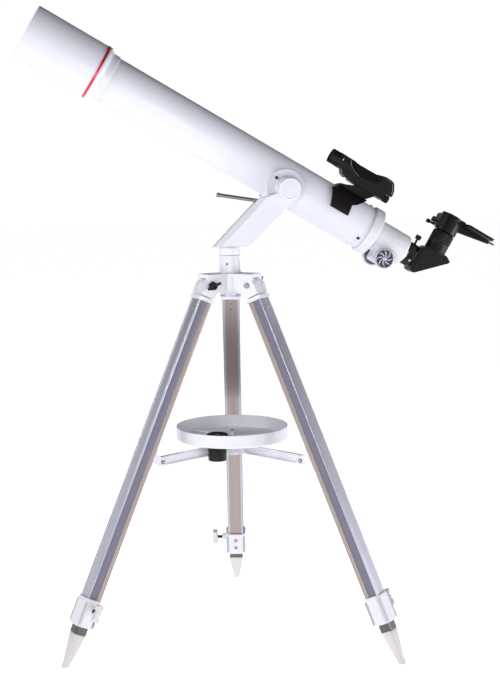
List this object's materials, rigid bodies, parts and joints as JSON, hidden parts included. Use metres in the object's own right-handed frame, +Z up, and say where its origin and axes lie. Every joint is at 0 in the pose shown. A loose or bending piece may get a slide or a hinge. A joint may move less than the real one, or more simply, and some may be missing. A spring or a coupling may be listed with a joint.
{
  "type": "refractor telescope",
  "caption": "Refractor telescope on a single alt-azimuth arm and folding tripod, with rack focuser, diagonal, phone adapter, red-dot finder and tray.",
  "frame": {"origin": "on the floor under the azimuth axis", "axes": "+Z up along the azimuth axis, the tube's upright plane parallel to XZ with the objective towards -X, +Y along the altitude axis"},
  "size_m": [0.8493, 0.5361, 1.0864],
  "materials": {
    "white_plastic": "satin moulded white",
    "grey_plastic": "light grey moulded",
    "light_plastic": "off-white moulded",
    "white_metal": "gloss white enamel",
    "red_metal": "gloss red anodised",
    "aluminium": "satin extrusion",
    "dark_aluminium": "satin extrusion",
    "bright_metal": "bright turned",
    "dark_steel": "blackened",
    "silver_knob": "silver with cast spokes",
    "black_plastic": "black moulded",
    "coated_glass": "coated lens",
    "clear_glass": "clear"
  },
  "bodies": {
    "tripod_top": {"tripod_hub": "white_plastic", "leg_pivot_bolts": "dark_steel", "leg_wing_nuts": "black_plastic", "azimuth_base": "white_plastic"},
    "spreader": {"spreader_hub": "white_plastic", "tray": "white_plastic"},
    "spare": {"spare_eyepiece": "black_plastic"},
    "leg_back": {"leg_head_back": "white_plastic", "leg_rail_back": "aluminium", "lock_collar_back": "grey_plastic", "spreader_bracket_back": "white_plastic"},
    "lower_leg_back": {"inner_rail_back": "dark_aluminium", "foot_tip_back": "light_plastic"},
    "leg_lock_back": {"lock_wing_back": "light_plastic"},
    "strut_back": {"strut_back": "white_plastic"},
    "leg_left": {"leg_head_left": "white_plastic", "leg_rail_left": "aluminium", "lock_collar_left": "grey_plastic", "spreader_bracket_left": "white_plastic"},
    "lower_leg_left": {"inner_rail_left": "dark_aluminium", "foot_tip_left": "light_plastic"},
    "leg_lock_left": {"lock_wing_left": "light_plastic"},
    "strut_left": {"strut_left": "white_plastic"},
    "leg_right": {"leg_head_right": "white_plastic", "leg_rail_right": "aluminium", "lock_collar_right": "grey_plastic", "spreader_bracket_right": "white_plastic"},
    "lower_leg_right": {"inner_rail_right": "dark_aluminium", "foot_tip_right": "light_plastic"},
    "leg_lock_right": {"lock_wing_right": "light_plastic"},
    "strut_right": {"strut_right": "white_plastic"},
    "arm": {"azimuth_spindle": "white_plastic", "mount_arm": "white_metal", "steering_rod": "dark_steel"},
    "tube": {"altitude_axle": "dark_steel", "altitude_cap": "white_metal", "main_tube": "white_metal", "dew_shield": "white_metal", "accent_ring": "red_metal", "objective_cell": "white_plastic", "objective_lens": "coated_glass", "tube_baffles": "black_plastic", "pivot_plate": "white_metal", "rear_cell": "white_plastic", "focuser_body": "white_plastic", "finder_shoe": "black_plastic", "finder_body": "black_plastic", "finder_window": "clear_glass"},
    "focus_tube": {"drawtube": "bright_metal", "eyepiece_adapter": "black_plastic"},
    "focus_drive": {"focus_shaft": "dark_steel", "focus_knobs": "silver_knob"},
    "adapter_lock": {"adapter_screw": "black_plastic"},
    "diagonal": {"diagonal_housing": "black_plastic", "diagonal_prism": "clear_glass"},
    "viewing_end": {"eyepiece": "black_plastic", "phone_clamp": "black_plastic", "phone_plate": "black_plastic", "phone_screws": "black_plastic"},
    "finder_switch": {"finder_dial": "black_plastic"}
  },
  "joints": [
    {"name": "tripod_fold", "type": "slide", "parent": "tripod_top", "child": "spreader", "axis": [0, 0, 1], "range_m": [0, 0.03]},
    {"name": "spare_eyepiece_lift", "type": "slide", "parent": "spreader", "child": "spare", "axis": [0, 0, 1], "range_m": [0, 0.05]},
    {"name": "leg_hinge_back", "type": "hinge", "parent": "tripod_top", "child": "leg_back", "pos_m": [0.00809, 0.04325, 0.618], "axis": [-0.9829, 0.184, 0], "range_deg": [0, 1.3]},
    {"name": "leg_extension_back", "type": "slide", "parent": "leg_back", "child": "lower_leg_back", "axis": [0.0754, 0.4029, -0.9121], "range_m": [0, 0.3]},
    {"name": "leg_lock_turn_back", "type": "hinge", "parent": "leg_back", "child": "leg_lock_back", "pos_m": [0.02181, 0.27964, 0.09535], "axis": [-0.9829, 0.184, 0], "range_deg": [0, 180]},
    {"name": "strut_hinge_back", "type": "hinge", "parent": "spreader", "child": "strut_back", "pos_m": [0.00405, 0.02162, 0.333], "axis": [-0.9829, 0.184, 0], "range_deg": [0, 17]},
    {"name": "leg_hinge_left", "type": "hinge", "parent": "tripod_top", "child": "leg_left", "pos_m": [-0.0415, -0.01461, 0.618], "axis": [0.3322, -0.9432, 0], "range_deg": [0, 1.3]},
    {"name": "leg_extension_left", "type": "slide", "parent": "leg_left", "child": "lower_leg_left", "axis": [-0.3866, -0.1362, -0.9121], "range_m": [0, 0.3]},
    {"name": "leg_lock_turn_left", "type": "hinge", "parent": "leg_left", "child": "leg_lock_left", "pos_m": [-0.25309, -0.12093, 0.09535], "axis": [0.3322, -0.9432, 0], "range_deg": [0, 180]},
    {"name": "strut_hinge_left", "type": "hinge", "parent": "spreader", "child": "strut_left", "pos_m": [-0.02075, -0.00731, 0.333], "axis": [0.3322, -0.9432, 0], "range_deg": [0, 17]},
    {"name": "leg_hinge_right", "type": "hinge", "parent": "tripod_top", "child": "leg_right", "pos_m": [0.03341, -0.02863, 0.618], "axis": [0.6508, 0.7593, 0], "range_deg": [0, 1.3]},
    {"name": "leg_extension_right", "type": "slide", "parent": "leg_right", "child": "lower_leg_right", "axis": [0.3112, -0.2668, -0.9121], "range_m": [0, 0.3]},
    {"name": "leg_lock_turn_right", "type": "hinge", "parent": "leg_right", "child": "leg_lock_right", "pos_m": [0.23127, -0.15871, 0.09535], "axis": [0.6508, 0.7593, 0], "range_deg": [0, 180]},
    {"name": "strut_hinge_right", "type": "hinge", "parent": "spreader", "child": "strut_right", "pos_m": [0.0167, -0.01432, 0.333], "axis": [0.6508, 0.7593, 0], "range_deg": [0, 17]},
    {"name": "azimuth_turn", "type": "hinge", "parent": "tripod_top", "child": "arm", "pos_m": [0, 0, 0.668], "axis": [0, 0, 1], "continuous": true},
    {"name": "altitude_tilt", "type": "hinge", "parent": "arm", "child": "tube", "pos_m": [0.10134, -0.001, 0.77848], "axis": [0, 1, 0], "range_deg": [-40, 40]},
    {"name": "focus_slide", "type": "slide", "parent": "tube", "child": "focus_tube", "axis": [0.8634, 0, -0.5045], "range_m": [0, 0.06]},
    {"name": "focus_turn", "type": "hinge", "parent": "tube", "child": "focus_drive", "pos_m": [0.27825, 0.0584, 0.65309], "axis": [0, 1, 0], "range_deg": [-500, 500]},
    {"name": "adapter_lock_turn", "type": "hinge", "parent": "focus_tube", "child": "adapter_lock", "pos_m": [0.34895, 0.0584, 0.67895], "axis": [0.5045, 0, 0.8634], "range_deg": [0, 360]},
    {"name": "diagonal_turn", "type": "hinge", "parent": "focus_tube", "child": "diagonal", "pos_m": [0.33411, 0.0584, 0.65751], "axis": [-0.8634, 0, 0.5045], "range_deg": [-90, 90]},
    {"name": "eyepiece_turn", "type": "hinge", "parent": "diagonal", "child": "viewing_end", "pos_m": [0.38883, 0.0584, 0.67187], "axis": [0.5045, 0, 0.8634], "continuous": true},
    {"name": "finder_dial_turn", "type": "hinge", "parent": "tube", "child": "finder_switch", "pos_m": [0.29088, 0.0584, 0.75597], "axis": [-0.8634, 0, 0.5045], "range_deg": [0, 270]}
  ],
  "couplings": [
    {"joint": "leg_hinge_back", "follows": "tripod_fold", "rad_per_m": 0.67048},
    {"joint": "strut_hinge_back", "follows": "tripod_fold", "rad_per_m": 9.2947},
    {"joint": "leg_hinge_left", "follows": "tripod_fold", "rad_per_m": 0.67048},
    {"joint": "strut_hinge_left", "follows": "tripod_fold", "rad_per_m": 9.2947},
    {"joint": "leg_hinge_right", "follows": "tripod_fold", "rad_per_m": 0.67048},
    {"joint": "strut_hinge_right", "follows": "tripod_fold", "rad_per_m": 9.2947},
    {"joint": "focus_turn", "follows": "focus_slide", "rad_per_m": 142.86}
  ]
}
